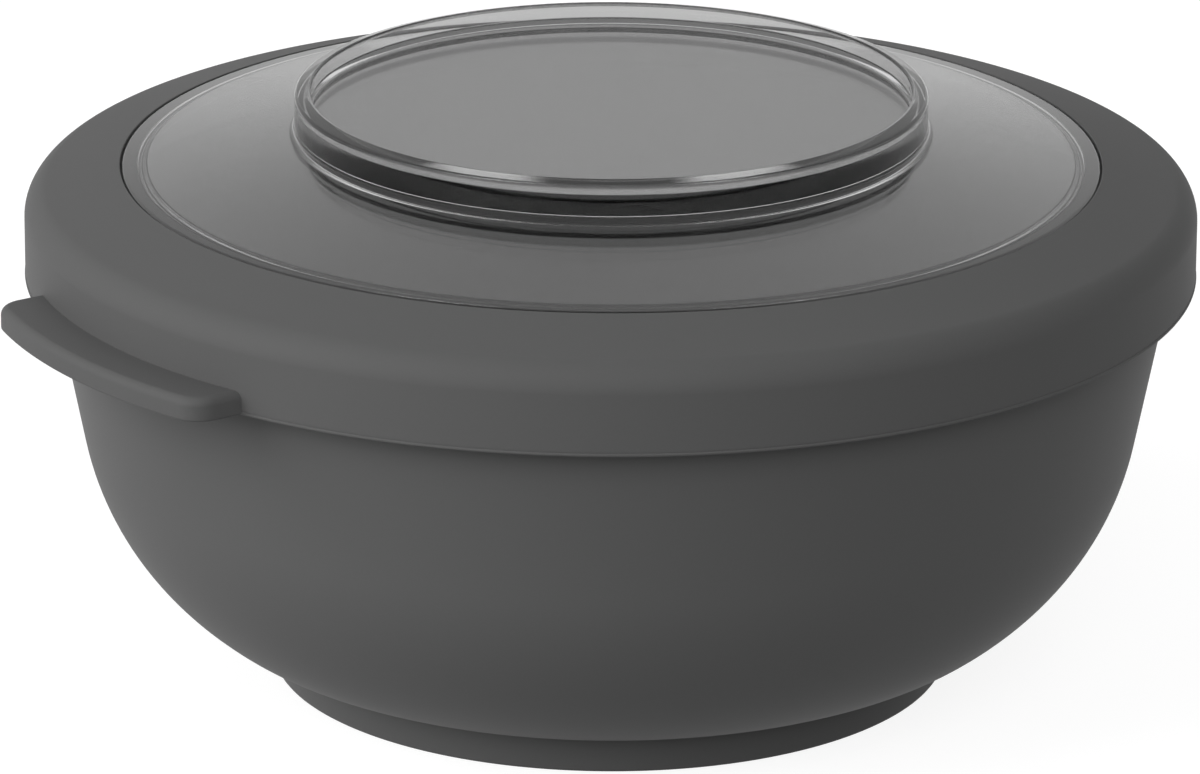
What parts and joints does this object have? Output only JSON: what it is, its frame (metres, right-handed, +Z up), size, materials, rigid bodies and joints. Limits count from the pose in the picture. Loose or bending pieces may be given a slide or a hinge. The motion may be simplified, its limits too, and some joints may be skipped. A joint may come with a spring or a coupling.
{
  "type": "storage bowl",
  "caption": "Round storage bowl on a hollow foot ring, with a lift-off lid: a soft ring with a pull tab around a clear window whose raised ring locates the foot of a bowl stacked on it.",
  "frame": {"origin": "centre of the foot ring's underside, where the bowl stands on a surface", "axes": "+Z up along the bowl's axis; -Y is the front of the picture; the pull tab points 55 degrees from -Y towards -X"},
  "size_m": [0.1817, 0.18, 0.0919],
  "materials": {
    "bowl_plastic": "fine matt moulded plastic, dark grey",
    "ring_plastic": "soft matt moulded plastic, dark grey",
    "window_plastic": "clear polished plastic"
  },
  "bodies": {
    "bowl": {"bowl": "bowl_plastic"},
    "lid": {"lid_ring": "ring_plastic", "lid_window": "window_plastic"}
  },
  "joints": [
    {"name": "lid_lift", "type": "slide", "parent": "bowl", "child": "lid", "axis": [0, 0, 1], "range_m": [0, 0.12]}
  ]
}
